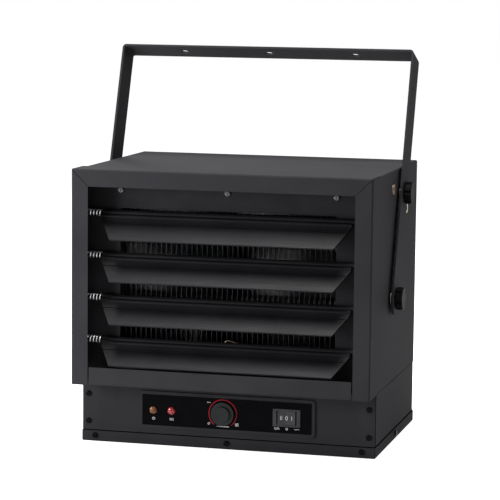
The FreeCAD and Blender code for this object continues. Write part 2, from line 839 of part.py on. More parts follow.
def fan_shaft():
    return rod(motor_shaft, fan_point(motor_front + bend), fan_point(fan_back - bend))


def blade_section(radius, chord, angle):
    """A thin slanted rectangle across a blade at one radius, for a blade that points up."""
    turn = math.radians(angle)
    along = Vec(math.cos(turn), math.sin(turn), 0)
    across = Vec(-math.sin(turn), math.cos(turn), 0)
    middle = Vec(0, (fan_front + fan_back) / 2, chamber_z + radius)
    corners = [middle + along * (a * chord / 2) + across * (b * blade_thick / 2)
               for a, b in ((-1, -1), (1, -1), (1, 1), (-1, 1))]
    return Part.makePolygon(corners + corners[:1])


def fan_blades():
    hub = rod(fan_hub, fan_point(fan_front), fan_point(fan_back))
    root = blade_section(blade_root_radius, blade_root_chord, blade_root_angle)
    tip_height = math.sqrt(fan_radius ** 2 - (blade_tip_chord / 2) ** 2)
    tip = blade_section(tip_height, blade_tip_chord, blade_tip_angle)
    blade = Part.makeLoft([root, tip], True, True)
    blades = []
    for i in range(blade_count):
        copy = blade.copy()
        copy.rotate(fan_point(0), AXIS_Y, math.degrees(2 * math.pi * i / blade_count))
        blades.append(copy)
    fan = hub.multiFuse(blades)
    return fan.cut(rod(motor_shaft + press, fan_point(fan_front - sheet), fan_point(fan_back - bend)))


def gland_point():
    return Vec(-half, back_y - gland_back, box_z)


def cable_gland():
    """Flanged bush in the left wall with its nut inside: the way in for the supply cable."""
    outside = gland_point()
    inside = outside + AXIS_X * sheet
    gland = rod(gland_flange, outside - AXIS_X * gland_flange_height, outside)
    gland = gland.fuse(rod(gland_radius, outside - AXIS_X * press, inside + AXIS_X * gland_length))
    gland = gland.fuse(rod(gland_flange, inside, inside + AXIS_X * gland_nut_height))
    return drill(gland, gland_bore, [outside], AXIS_X, 2 * gland_length)


def terminal_block():
    x0 = terminal_block_x - terminal_block_length / 2
    z0 = box_z - terminal_block_height / 2
    y1 = lower_back - sheet
    y0 = y1 - terminal_block_depth
    block = box(x0, x0 + terminal_block_length, y0, y1, z0, z0 + terminal_block_height)
    step = terminal_block_length / terminal_ways
    wells = [Vec(x0 + step * (i + 0.5), y0, box_z) for i in range(terminal_ways)]
    return drill(block, terminal_screw_radius, wells, AXIS_Y, terminal_screw_depth)


def insert(point, bore, side):
    """A brass rivet nut: a flange outside the wall and a bored barrel inside it."""
    out = AXIS_X * side
    barrel = bore + insert_wall
    nut = rod(barrel + insert_flange, point, point + out * insert_flange_height)
    nut = nut.fuse(rod(barrel, point + out * press, point - out * insert_length))
    return drill(nut, bore + running, [point], AXIS_X, 2 * insert_length)


def side_inserts():
    solids = []
    for side in SIDES:
        solids.append(insert(pivot_point(side), pivot_stud, side))
        solids.extend(insert(point, lock_stud, side) for point in lock_points(side))
    return solids


def pivot_spacers():
    solids = []
    for side in SIDES:
        seat = pivot_point(side) + AXIS_X * (side * insert_flange_height)
        end = pivot_point(side) + AXIS_X * (side * (bracket_gap - spacer_gap))
        ring = rod(spacer_radius, seat, end)
        solids.append(drill(ring, pivot_stud + slip, [seat], AXIS_X, bracket_gap))
    return solids


def tilted(shape):
    """Turns an upright bracket piece back to the photographed tilt."""
    shape.rotate(pivot, AXIS_X, -bracket_tilt)
    return shape


def bracket():
    """A flat strap folded to a U, with round feet at the pivot and three holes in its band."""
    high = pivot.z + bracket_reach
    path = [(strap_outer, pivot.z), (strap_outer, high), (-strap_outer, high), (-strap_outer, pivot.z)]
    strap = folded(path, strap_thick, strap_bend, on_xz, AXIS_Y * strap_width)
    strap.translate(AXIS_Y * (pivot.y - strap_width / 2))
    for side in SIDES:
        inner = pivot + AXIS_X * (side * strap_inner)
        strap = strap.fuse(rod(strap_width / 2, inner, inner + AXIS_X * (side * strap_thick)))
    strap = strap.removeSplitter()
    strap = drill(strap, pivot_stud + slip, [pivot], AXIS_X, 2 * half)
    strap = drill(strap, lock_stud + slip, [pivot + AXIS_Z * lock_radius], AXIS_X, 2 * half)
    strap = drill(strap, leg_hole, [pivot + AXIS_Z * leg_hole_reach], AXIS_X, 2 * half)
    band = [Vec(x, pivot.y, high) for x in (-ceiling_span, 0, ceiling_span)]
    return tilted(drill(strap, ceiling_hole, band, AXIS_Z, 2 * strap_thick))


def hand_knob(centre, stud_radius, stud_end):
    """A fluted knob on the right side, moulded on a stud that runs in to stud_end."""
    seat = Vec(strap_outer, centre.y, centre.z)
    hub_top = seat + AXIS_X * hand_knob_hub_height
    face = hub_top + AXIS_X * hand_knob_thick
    head = rod(hand_knob_radius, hub_top, face)
    rims = [edge for edge in head.Edges if edge.Closed]
    head = head.makeFillet(bend, rims)
    flutes = []
    for i in range(hand_knob_lobes):
        angle = 2 * math.pi * i / hand_knob_lobes
        off = Vec(0, math.sin(angle), math.cos(angle)) * (hand_knob_radius + hand_knob_flute / 3)
        flutes.append(rod(hand_knob_flute, hub_top + off - AXIS_X * sheet, face + off + AXIS_X * sheet))
    head = head.cut(flutes)
    head = head.fuse(rod(hand_knob_hub, seat, hub_top + AXIS_X * press))
    return head.fuse(rod(stud_radius, Vec(stud_end, centre.y, centre.z), hub_top))


def pivot_knob():
    return hand_knob(pivot, pivot_stud, half - insert_length)


def lock_knob():
    end = half + insert_flange_height + stud_clear
    return tilted(hand_knob(pivot + AXIS_Z * lock_radius, lock_stud, end))


def louvre_ways(index):
    """The way along a blade and the way out of its upper face, tilted as photographed."""
    tilt = math.radians(louvre_tilts[index])
    return Vec(0, -math.cos(tilt), -math.sin(tilt)), Vec(0, -math.sin(tilt), math.cos(tilt))


def louvre_blade(place):
    """Blade section with a hollow web, a groove and a rounded front edge, then pushed across."""
    skin = louvre_thick / 2
    tip = louvre_reach - skin
    floor = skin - louvre_groove
    groove_end = louvre_web_end + louvre_groove_width
    upper = [(tip, skin), (groove_end, skin), (groove_end, floor), (louvre_web_end, floor),
             (louvre_web_end, skin)]
    crest = (louvre_bead_reach + louvre_crest, louvre_crest)
    dip = ((louvre_web_end + crest[0]) / 2, (skin + crest[1]) / 2 - louvre_groove / 2)
    root = (louvre_bead_reach, -skin)
    front = Part.Arc(place(tip, -skin), place(louvre_reach, 0), place(tip, skin))
    hollow = Part.Arc(place(*upper[-1]), place(*dip), place(*crest))
    straight = list(zip(upper, upper[1:])) + [(crest, root), (root, (tip, -skin))]
    edges = [Part.LineSegment(place(*a), place(*b)).toShape() for a, b in straight]
    edges += [front.toShape(), hollow.toShape()]
    blade = Part.Face(Part.Wire(Part.__sortEdges__(edges))).extrude(AXIS_X * (2 * blade_half))
    blade.translate(AXIS_X * -blade_half)
    return blade


def louvre(index):
    """An extruded blade with a bead, a hinge curl and slanted ends."""
    axis = louvre_axis(index)
    along, upward = louvre_ways(index)

    def place(u, v):
        return axis + along * u + upward * v

    blade = louvre_blade(place).cut([end_cut(side, place) for side in SIDES])
    across = AXIS_X * blade_half
    middle = place(louvre_bead_reach, 0)
    bead = rod(louvre_bead, middle - across, middle + across)
    right = carrier_x - edge_gap
    curl = rod(louvre_curl, axis - across, axis + AXIS_X * right)
    blade = blade.multiFuse([bead, curl]).removeSplitter()
    bores = [rod(pin_radius + press, axis + AXIS_X * (right - pin_depth), axis + AXIS_X * half),
             rod(pin_radius + press, axis - AXIS_X * half, axis - AXIS_X * (blade_half - pin_depth))]
    return blade.cut(bores)


def end_cut(side, place):
    """The corner that is cut off one end of a blade, from the bead to the front edge."""
    start = louvre_bead_reach + louvre_bead
    beyond = louvre_reach + louvre_thick
    slope = louvre_end_cut / (louvre_reach - start)
    outer = AXIS_X * (side * (blade_half + sheet))
    edge = AXIS_X * (side * blade_half)
    short = AXIS_X * (side * (blade_half - slope * (beyond - start)))
    low = place(start, -louvre_reach)
    far = place(beyond, -louvre_reach)
    corner = polygon_face([low + edge, low + outer, far + outer, far + short])
    return corner.extrude(place(0, louvre_reach) - place(0, -louvre_reach))


def louvre_pins(index):
    """The two pressed pins, out through the carriers."""
    axis = louvre_axis(index)
    end = carrier_x + 2 * sheet
    right = carrier_x - edge_gap - pin_depth
    return [rod(pin_radius, axis + AXIS_X * right, axis + AXIS_X * end),
            rod(pin_radius, axis - AXIS_X * end, axis - AXIS_X * (blade_half - pin_depth))]


def arc_from(start, way, end):
    """The arc that leaves start along way and reaches end."""
    chord = end - start
    across = chord.normalize()
    span = (end - start).Length
    bulge = way - across * way.dot(across)
    turn = way.getAngle(across)
    middle = (start + end) * 0.5 + bulge.normalize() * (span / 2 * math.tan(turn / 2))
    return Part.Arc(start, middle, end).toShape()


def biarc(start, way, end, end_way):
    """Two arcs that join two points and meet both directions."""
    gap = end - start
    both = way + end_way
    bent = 2 * (1 - way.dot(end_way))
    reach = (math.sqrt(gap.dot(both) ** 2 + bent * gap.dot(gap)) - gap.dot(both)) / bent
    middle = (start + way * reach + end - end_way * reach) * 0.5
    return [arc_from(start, way, middle), arc_from(end, end_way * -1, middle)]


def spring_stations(index):
    """Points and directions along a louvre spring, a quarter turn apart, with straight ends."""
    axis = louvre_axis(index)
    left = -carrier_x + spring_gap
    right = -blade_half - spring_gap
    lead = spring_wire + spring_lead
    pitch = (right - left - 2 * lead) / spring_turns
    quarters = 4 * spring_turns
    stations = []
    for i in range(quarters + 1):
        angle = math.pi / 2 * i
        out = Vec(0, math.cos(angle), -math.sin(angle))
        round_way = Vec(pitch / (2 * math.pi), -spring_radius * math.sin(angle),
                        -spring_radius * math.cos(angle)).normalize()
        stations.append((axis + Vec(left + lead + pitch * i / 4, 0, 0) + out * spring_radius, round_way))
    ends = []
    for x, quarter in ((left + spring_wire, -1), (right - spring_wire, quarters + 1)):
        angle = math.pi / 2 * quarter
        out = Vec(0, math.cos(angle), -math.sin(angle))
        ends.append((axis + Vec(x, 0, 0) + out * spring_radius, AXIS_X))
    return [ends[0]] + stations + [ends[1]]


def louvre_spring(index):
    """A friction spring on the left pin: one wire, wound as a helix between carrier and tube."""
    stations = spring_stations(index)
    start = stations[0][0] - AXIS_X * spring_wire
    end = stations[-1][0] + AXIS_X * spring_wire
    edges = [Part.LineSegment(start, stations[0][0]).toShape()]
    for (point, way), (following, following_way) in zip(stations, stations[1:]):
        edges += biarc(point, way, following, following_way)
    edges.append(Part.LineSegment(stations[-1][0], end).toShape())
    path = Part.Wire(Part.__sortEdges__(edges))
    print_self_gap(index, path)
    ring = Part.Wire(Part.makeCircle(spring_wire / 2, start, AXIS_X))
    return path.makePipeShell([ring], True, False)


def print_self_gap(index, path):
    """Prints the least clear gap between two turns of the wire, measured on points."""
    count = spring_points * spring_turns
    points = path.discretize(Number=count)
    turn = count // (spring_turns + 1) // 2
    gap = min((a - b).Length for i, a in enumerate(points) for b in points[i + turn:])
    print(f"louvre_spring_{index + 1} least gap to itself {gap - spring_wire:.2f} mm")


def tray_screw_solids():
    solids = screw_group(tray_front_screws(), AXIS_Y)
    solids += screw_group(tray_back_screws(), AXIS_Y * -1)
    for side in SIDES:
        solids += screw_group(tray_side_screws(side), AXIS_X * -side)
    return solids


def all_parts():
    """Every node's name with its solid or solids."""
    right_rail = hood_right_rail()
    carrier = louvre_carrier()
    right_pivot = pivot_knob()
    right_lock = lock_knob()
    parts = {
        "casing_wrap": casing_wrap(),
        "back_panel": back_panel(),
        "fan_guard": fan_guard(),
        "hood_top_rail": hood_top_rail(),
        "hood_left_rail": mirrored(right_rail),
        "hood_right_rail": right_rail,
        "louvre_carrier_left": mirrored(carrier),
        "louvre_carrier_right": carrier,
        "outlet_plate": outlet_plate(),
        "front_panel": front_panel(),
        "lower_casing": lower_casing(),
        "partition_plate": partition_plate(),
        "base_tray": base_tray(),
        "control_overlay": control_overlay(),
        "amber_lamp_lens": lamp_lens(0),
        "red_lamp_lens": lamp_lens(1),
        "lamp_bodies": lamp_bodies(),
        "switch_housing": switch_housing(),
        "rocker": rocker(),
        "thermostat_body": thermostat_body(),
        "thermostat_shaft": thermostat_shaft(),
        "thermostat_knob": thermostat_knob(),
        "capillary_bulb": capillary_bulb(),
        "heater_fins": heater_fins(),
        "element_plates": element_plates(),
        "thermal_cutout": thermal_cutout(),
        "motor_bracket": motor_bracket(),
        "fan_motor": fan_motor(),
        "fan_shaft": fan_shaft(),
        "fan_blades": fan_blades(),
        "terminal_block": terminal_block(),
        "cable_gland": cable_gland(),
        "side_inserts": side_inserts(),
        "pivot_spacers": pivot_spacers(),
        "bracket": bracket(),
        "pivot_knob_left": mirrored(right_pivot),
        "pivot_knob_right": right_pivot,
        "lock_knob_left": mirrored(right_lock),
        "lock_knob_right": right_lock,
        "front_panel_screws": screw_group(panel_screws(), AXIS_Y),
        "tray_screws": tray_screw_solids(),
        "outlet_plate_screws": screw_group(outlet_screws(), AXIS_Y),
        "back_panel_screws": screw_group(back_screws(), AXIS_Y * -1),
        "motor_screws": screw_group(motor_screws(), AXIS_Y),
    }
    for i in range(element_count):
        parts[f"heating_element_{i + 1}"] = heating_element(i)
    for i in range(louvre_count):
        parts[f"louvre_{i + 1}"] = louvre(i)
        parts[f"louvre_pins_{i + 1}"] = louvre_pins(i)
        parts[f"louvre_spring_{i + 1}"] = louvre_spring(i)
    return parts


def main():
    os.makedirs("parts", exist_ok=True)
    for name, shape in all_parts().items():
        if isinstance(shape, list):
            shape = Part.makeCompound(shape)
        shape.exportStep(f"parts/{name}.step")


main()
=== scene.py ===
# %% [markdown]
# # A black ceiling heater
# The solids of the heater come from a imported model that is loaded as a fixed frame. This lesson gives
# them finishes, makes finer louvre springs and lamp lenses, prints the control panel's marks, lays thin
# black strips of painted shade in the seams and sets up a camera and a plain white studio. Everything is
# in metres, +Z is up and the louvres face -Y.

import math

import bpy
import numpy as np
from mathutils import Matrix, Vector


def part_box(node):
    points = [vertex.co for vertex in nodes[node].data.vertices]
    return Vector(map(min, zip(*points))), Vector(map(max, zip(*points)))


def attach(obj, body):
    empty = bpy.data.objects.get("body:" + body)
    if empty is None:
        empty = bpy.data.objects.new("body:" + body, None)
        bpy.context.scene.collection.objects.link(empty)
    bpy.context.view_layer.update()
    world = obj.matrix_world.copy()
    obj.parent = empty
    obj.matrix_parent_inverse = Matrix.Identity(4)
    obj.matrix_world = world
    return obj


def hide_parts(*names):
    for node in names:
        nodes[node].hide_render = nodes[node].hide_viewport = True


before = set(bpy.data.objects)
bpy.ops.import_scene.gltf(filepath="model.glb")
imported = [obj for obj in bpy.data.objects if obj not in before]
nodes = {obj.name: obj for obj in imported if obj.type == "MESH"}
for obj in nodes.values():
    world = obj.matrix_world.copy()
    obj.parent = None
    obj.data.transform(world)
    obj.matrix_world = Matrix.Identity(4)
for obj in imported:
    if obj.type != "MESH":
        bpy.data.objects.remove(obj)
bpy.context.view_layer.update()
scene = bpy.context.scene

# %% [markdown]
# ## Camera
# A picture of a box gives its camera away: the edges' slopes fix the turn, the fall and the distance. Here
# the camera stands 2.5 m in front, 0.66 m to the right and 0.55 m up, with a long lens. It could be aimed
# at a point, but then it would have no roll. So the view is built from its turn, its fall and a small
# roll, because three angles are easy to read and to change.


# %% Camera
def placed(name, data):
    """A new object in the scene, at the origin and unturned."""
    thing = bpy.data.objects.new(name, data)
    scene.collection.objects.link(thing)
    return thing


camera_place = (0.6608, -2.5442, 0.55)
turn, fall, roll = np.radians([14.55, 7.21, 0.61])
sensor_mm, lens_mm = 36, 163.4
forward = Vector((-math.sin(turn) * math.cos(fall), math.cos(turn) * math.cos(fall), -math.sin(fall)))
level = Vector((math.cos(turn), math.sin(turn), 0))
upward = level.cross(forward)
right = level * math.cos(roll) + upward * math.sin(roll)
upward = right.cross(forward)
camera_data = bpy.data.cameras.new("camera")
camera_data.sensor_width = sensor_mm
camera_data.lens = lens_mm
camera = placed("camera", camera_data)
camera.matrix_world = Matrix.Translation(camera_place) @ Matrix(
    (right, upward, -forward)).transposed().to_4x4()
scene.camera = camera
scene.view_settings.view_transform = "Standard"
print("camera at", camera_place, "with a lens of", lens_mm, "mm")

# %% [markdown]
# ## Helpers for surfaces
# Every new piece is a stack of rings with the same number of points: a spring is a small circle carried
# along a helix, a printed line is a flat profile carried along an arc, and a lens is a ring that shrinks
# as it rises. Blender has other tools for each of them, but one function that makes all the meshes is
# easier to trust. It works on whole arrays, and the ends are closed with one face each.


# %% Closed pieces from rings
def make_outward(mesh):
    """Turns all faces round where the signed volume, a sum of corner products, is negative."""
    mesh.calc_loop_triangles()
    corners = np.empty(len(mesh.vertices) * 3)
    mesh.vertices.foreach_get("co", corners)
    ids = np.empty(len(mesh.loop_triangles) * 3, dtype=np.int32)
    mesh.loop_triangles.foreach_get("vertices", ids)
    a, b, c = np.moveaxis(corners.reshape(-1, 3)[ids.reshape(-1, 3)], 1, 0)
    if np.einsum("ij,ij->i", a, np.cross(b, c)).sum() < 0:
        mesh.flip_normals()


def ring_piece(name, rings, body, finish, smooth):
    """Points k and k + 1 of ring i and the same two of ring i + 1 are the corners of a face."""
    count, sides = rings.shape[:2]
    first = np.arange(count - 1)[:, None] * sides
    start = first + np.arange(sides)
    following = first + (np.arange(sides) + 1) % sides
    quads = np.stack([start, following, following + sides, start + sides], axis=-1).reshape(-1, 4)
    caps = [list(range(sides))[::-1], list(range((count - 1) * sides, count * sides))]
    mesh = bpy.data.meshes.new(name)
    mesh.from_pydata(rings.reshape(-1, 3).tolist(), [], quads.tolist() + caps)
    mesh.polygons.foreach_set("use_smooth", np.full(len(mesh.polygons), smooth))
    mesh.materials.append(finish.material)
    make_outward(mesh)
    piece = placed(name, mesh)
    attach(piece, body)
    return piece


print("pieces from rings ready")

# %% Profiles along a path
to_right, to_front, to_top = np.array([[1.0, 0.0, 0.0], [0.0, -1.0, 0.0], [0.0, 0.0, 1.0]])


def swept(name, path, across, above, profile, body, finish, smooth=True):
    """Point (i, k) is path[i] + profile[k, 0] * across[i] + profile[k, 1] * above[i].

    Where across or above is a single direction, it holds for the whole path.
    """
    path = np.array(path)
    across = np.broadcast_to(across, path.shape)
    above = np.broadcast_to(above, path.shape)
    rings = path[:, None] + profile[:, :1] * across[:, None] + profile[:, 1:] * above[:, None]
    return ring_piece(name, rings, body, finish, smooth)


def round_profile(radius, sides):
    """Points on a circle: radius times the cosine and the sine."""
    angle = np.linspace(0, 2 * np.pi, sides, endpoint=False)
    return radius * np.stack([np.cos(angle), np.sin(angle)], axis=1)


def flat_profile(width, height):
    """A rectangle, centred across and standing on zero."""
    return np.array([[-width / 2, 0], [width / 2, 0], [width / 2, height], [-width / 2, height]])


print("swept pieces ready")

# %% [markdown]
# ## Helpers for finishes
# A finish is a small tree of nodes. All of them read Object coordinates, so a grain has a real size in
# metres. The helper makes the shader and its coordinates, and its methods add noise, because almost
# every real surface varies a little in colour and in gloss. Pictures of surfaces could do the same, but
# they would stretch on the folds and end in seams.


# %% Finish helpers
class Finish:
    """A Principled material with handy ways to add noise, ramps and bump."""

    blend_from, blend_to = 0.35, 0.65

    def __init__(self, name, **sockets):
        self.material = bpy.data.materials.new(name)
        self.material.use_nodes = True
        self.tree = self.material.node_tree
        self.shader = self.tree.nodes["Principled BSDF"]
        self.coords = self.tree.nodes.new("ShaderNodeTexCoord").outputs["Object"]
        for socket, value in sockets.items():
            self.shader.inputs[socket.replace("_", " ")].default_value = value

    def stretched(self, scale):
        """Object coordinates multiplied by three factors; a small one draws the pattern out."""
        mapping = self.tree.nodes.new("ShaderNodeMapping")
        mapping.inputs["Scale"].default_value = scale
        self.tree.links.new(self.coords, mapping.inputs["Vector"])
        return mapping.outputs["Vector"]

    def noise(self, scale, detail, vector=None):
        """Cloudy noise with about scale grains in a metre."""
        node = self.tree.nodes.new("ShaderNodeTexNoise")
        node.inputs["Scale"].default_value = scale
        node.inputs["Detail"].default_value = detail
        self.tree.links.new(vector or self.coords, node.inputs["Vector"])
        return node.outputs["Fac"]

    def cells(self, scale):
        """Random grey per cell of a Voronoi pattern."""
        node = self.tree.nodes.new("ShaderNodeTexVoronoi")
        node.inputs["Scale"].default_value = scale
        self.tree.links.new(self.coords, node.inputs["Vector"])
        return node.outputs["Color"]

    def ramp(self, fac, low, high):
        """A blend from one colour to another as the noise rises through its middle values."""
        node = self.tree.nodes.new("ShaderNodeValToRGB")
        node.color_ramp.elements[0].position = self.blend_from
        node.color_ramp.elements[1].position = self.blend_to
        node.color_ramp.elements[0].color = (*low, 1)
        node.color_ramp.elements[1].color = (*high, 1)
        self.tree.links.new(fac, node.inputs["Fac"])
        return node.outputs["Color"]

    def colour(self, fac, low, high):
        """Base colour between two colours."""
        self.tree.links.new(self.ramp(fac, low, high), self.shader.inputs["Base Color"])

    def gloss(self, fac, low, high):
        """Roughness between two values."""
        grey = self.ramp(fac, (low,) * 3, (high,) * 3)
        self.tree.links.new(grey, self.shader.inputs["Roughness"])

    def bump(self, fac, strength, distance):
        """Dents as deep as distance, where the noise is taken as a height."""
        node = self.tree.nodes.new("ShaderNodeBump")
        node.inputs["Strength"].default_value = strength
        node.inputs["Distance"].default_value = distance
        self.tree.links.new(fac, node.inputs["Height"])
        self.tree.links.new(node.outputs["Normal"], self.shader.inputs["Normal"])


print("finish helpers ready")

# %% [markdown]
# ## Powder coat
# The casing is baked black powder on sheet steel. The powder melts to a matt skin with a fine orange
# peel about a millimetre across. Broad faint clouds in the gloss keep the big flat panels from looking
# like plain colour. The louvres are glossier, because they are coated extrusions, and the die leaves long
# faint draw lines on them, so their noise is stretched along X. Their much deeper black is painted shade
# for the shade each louvre throws on the next. The plate behind them has a satin coat, and the louvres'
# carriers and the fan's guard have the darkest one: the same black made far darker as painted shade, for
# the deep shade inside the hood.

# %% Powder coat
coat = Finish("black_powder_coat", Specular_IOR_Level=0.012)
coat.colour(coat.noise(18, 4), (0.0214, 0.0208, 0.0232), (0.025, 0.0243, 0.0268))
coat.gloss(coat.noise(9, 3), 0.62, 0.68)
coat.bump(coat.noise(1100, 2), 0.08, 0.0002)

# Painted shade: this black is far deeper than the casing's coat and stands in for the shade the louvres
# throw on each other.
blade_coat_and_shade = Finish("black_blade_coat_painted_shade", Specular_IOR_Level=0.06)
blade_coat_and_shade.colour(blade_coat_and_shade.noise(25, 3), (0.0060, 0.0058, 0.0068), (0.0076, 0.0072, 0.0084))
drawn = blade_coat_and_shade.noise(900, 2, blade_coat_and_shade.stretched((0.02, 1, 1)))
blade_coat_and_shade.gloss(drawn, 0.36, 0.46)
blade_coat_and_shade.bump(drawn, 0.18, 0.0002)

plate_coat = Finish("satin_plate_coat", Specular_IOR_Level=0.05)
plate_coat.colour(plate_coat.noise(30, 3), (0.0105, 0.0102, 0.0117), (0.0135, 0.0131, 0.0147))
plate_coat.gloss(plate_coat.noise(70, 3), 0.5, 0.6)
plate_coat.bump(plate_coat.noise(1000, 2), 0.1, 0.0002)

# Painted shade: the same black coat made far darker, for the deep shade inside the hood where the carriers
# sit.
inner_shade_coat = Finish("inner_coat_painted_shade", Specular_IOR_Level=0.015)
inner_shade_coat.colour(inner_shade_coat.noise(30, 3), (0.0009, 0.0009, 0.0011), (0.0015, 0.0015, 0.0017))
inner_shade_coat.gloss(inner_shade_coat.noise(70, 3), 0.55, 0.68)
inner_shade_coat.bump(inner_shade_coat.noise(1000, 2), 0.1, 0.0002)
print("powder coats:", *(made.material.name for made in (coat, blade_coat_and_shade, plate_coat, inner_shade_coat)))

# %% [markdown]
# ## Plated metals and brass
# Zinc-plated sheet shows spangles, and a Voronoi pattern gives them, because its cells lie side by side
# as crystals do. Bright steel is almost a mirror with faint drawing marks, the springs have a still
# brighter plate, and the screws of the outlet plate are dull nickel. Blackening hides the metal of the
# other screws, so theirs is a plain dark finish with a tight gloss. The inserts are turned brass, and the
# bulb of the thermostat is brass under a thin layer of tin.

# %% Plated metals and brass
zinc = Finish("zinc_plate", Metallic=1.0)
zinc.colour(zinc.cells(140), (0.20, 0.205, 0.215), (0.30, 0.305, 0.31))
zinc.gloss(zinc.noise(200, 3), 0.30, 0.45)

bright = Finish("bright_steel", Metallic=1.0)
bright.colour(bright.noise(400, 2), (0.52, 0.52, 0.54), (0.64, 0.64, 0.65))
bright.gloss(bright.noise(900, 2), 0.22, 0.34)

spring_plate = Finish("bright_spring_plate", Metallic=1.0)
spring_plate.colour(spring_plate.noise(500, 2), (0.86, 0.86, 0.87), (0.94, 0.94, 0.95))
spring_plate.gloss(spring_plate.noise(900, 2), 0.30, 0.36)

dull_nickel = Finish("dull_nickel", Metallic=1.0)
dull_nickel.colour(dull_nickel.noise(400, 2), (0.055, 0.055, 0.058), (0.09, 0.09, 0.094))
dull_nickel.gloss(dull_nickel.noise(900, 2), 0.18, 0.28)

blackened = Finish("blackened_screw", Specular_IOR_Level=0.04)
blackened.colour(blackened.noise(500, 3), (0.0012, 0.0012, 0.0013), (0.0022, 0.0022, 0.0024))
blackened.gloss(blackened.noise(700, 2), 0.10, 0.14)

brass = Finish("turned_brass", Metallic=1.0)
brass.colour(brass.noise(300, 3), (0.34, 0.235, 0.17), (0.44, 0.32, 0.24))
brass.gloss(brass.noise(900, 2), 0.25, 0.38)

tinned = Finish("tinned_brass", Metallic=1.0)
tinned.colour(tinned.noise(300, 3), (0.16, 0.14, 0.09), (0.24, 0.21, 0.14))
tinned.gloss(tinned.noise(900, 2), 0.25, 0.38)
print("plated metals and brass ready")

# %% [markdown]
# ## Fan, fins, tubes and motor
# The fan and the fins are thin rolled aluminium. Rolling leaves marks along the sheet, so the noise of
# their gloss is stretched along Z. The fins are made near black as painted shade, for the deep shade they
# sit in behind the louvres. The heating tubes have the brown and grey clouds that heat leaves on steel,
# and noise with much detail looks most like them. The motor wears a coat of grey paint.

# %% Fan, fins, tubes and motor
rolled = Finish("rolled_aluminium", Metallic=1.0)
rolled.colour(rolled.noise(120, 3), (0.30, 0.305, 0.31), (0.42, 0.425, 0.43))
rolled.gloss(rolled.noise(500, 2, rolled.stretched((1, 1, 0.05))), 0.32, 0.46)

# Painted shade: the same rolled aluminium as the fan, made near black for the shade the fins sit in.
shaded_fin_sheet = Finish("fin_sheet_painted_shade", Metallic=0.7)
shaded_fin_sheet.colour(shaded_fin_sheet.noise(60, 3), (0.006, 0.007, 0.0095), (0.014, 0.016, 0.02))
shaded_fin_sheet.gloss(shaded_fin_sheet.noise(500, 2, shaded_fin_sheet.stretched((1, 1, 0.05))), 0.34, 0.48)

heated = Finish("heated_steel", Metallic=0.8)
heated.colour(heated.noise(90, 4), (0.10, 0.085, 0.075), (0.22, 0.20, 0.19))
heated.gloss(heated.noise(200, 3), 0.45, 0.6)

motor_paint = Finish("motor_paint")
motor_paint.colour(motor_paint.noise(40, 3), (0.10, 0.10, 0.105), (0.14, 0.14, 0.145))
motor_paint.gloss(motor_paint.noise(120, 3), 0.45, 0.58)
motor_paint.bump(motor_paint.noise(900, 2), 0.15, 0.0002)
print("finishes of the fan, the fins, the tubes and the motor ready")

# %% [markdown]
# ## Plastics
# The dial knob and the switch are moulded in dark plastic with a fine spark grain, and the hand knobs at
# the sides are polished. The plate on the raised console is a deep black film. The mouldings inside are
# pale, and the spacers are natural nylon. A fine bump gives the spark grain, because it catches the light
# as the real one does, and a colour alone would not.

# %% Plastics
grained = Finish("grained_black_plastic", Specular_IOR_Level=0.12)
grained.colour(grained.noise(60, 3), (0.0060, 0.0066, 0.0070), (0.0090, 0.0097, 0.0102))
grained.gloss(grained.noise(300, 3), 0.36, 0.48)
grained.bump(grained.noise(2600, 1), 0.2, 0.0001)

switch_plastic = Finish("grained_grey_plastic", Specular_IOR_Level=0.1)
switch_plastic.colour(switch_plastic.noise(90, 3), (0.026, 0.026, 0.029), (0.034, 0.034, 0.037))
switch_plastic.gloss(switch_plastic.noise(300, 3), 0.4, 0.5)
switch_plastic.bump(switch_plastic.noise(2600, 1), 0.25, 0.0001)

polished = Finish("polished_black_plastic", Specular_IOR_Level=0.0015)
polished.colour(polished.noise(60, 3), (0.0065, 0.0065, 0.0070), (0.0085, 0.0085, 0.0092))
polished.gloss(polished.noise(200, 3), 0.16, 0.24)
polished.bump(polished.noise(700, 1), 0.05, 0.0002)

film = Finish("deep_black_film", Specular_IOR_Level=0.015)
film.colour(film.noise(50, 3), (0.0008, 0.0009, 0.0013), (0.0014, 0.0015, 0.002))
film.gloss(film.noise(90, 3), 0.16, 0.24)
film.bump(film.noise(400, 1), 0.03, 0.0002)

pale = Finish("pale_moulding")
pale.colour(pale.noise(80, 3), (0.56, 0.53, 0.45), (0.66, 0.63, 0.55))
pale.gloss(pale.noise(200, 2), 0.4, 0.55)

nylon = Finish("natural_nylon")
nylon.colour(nylon.noise(90, 3), (0.60, 0.59, 0.55), (0.70, 0.69, 0.66))
nylon.gloss(nylon.noise(200, 2), 0.4, 0.5)
print("plastics ready")

# %% [markdown]
# ## Lenses and inks
# The lenses are clear tinted plastic with cut prisms inside. Modelled prisms would be too small to see,
# so a Voronoi pattern gives each prism its own brightness: painted sparkle that stands in for the light
# the prisms catch, over the lens's own tint. Prints are thin layers of ink with a slightly uneven gloss.

# %% Lenses and inks
# The cells' spread from dark to light is painted sparkle for light caught by the prisms; the tint is the
# lens's own.
amber = Finish("amber_lens", Transmission_Weight=0.2, IOR=1.49, Specular_IOR_Level=0.25)
amber.colour(amber.cells(560), (0.05, 0.014, 0.002), (0.22, 0.066, 0.014))
amber.gloss(amber.noise(800, 2), 0.06, 0.12)

ruby = Finish("red_lens", Transmission_Weight=0.2, IOR=1.49, Specular_IOR_Level=0.25)
ruby.colour(ruby.cells(560), (0.13, 0.003, 0.005), (0.38, 0.026, 0.034))
ruby.gloss(ruby.noise(800, 2), 0.06, 0.12)

white_ink = Finish("white_ink")
white_ink.colour(white_ink.noise(1500, 2), (0.34, 0.34, 0.34), (0.44, 0.44, 0.44))
white_ink.gloss(white_ink.noise(900, 2), 0.4, 0.55)

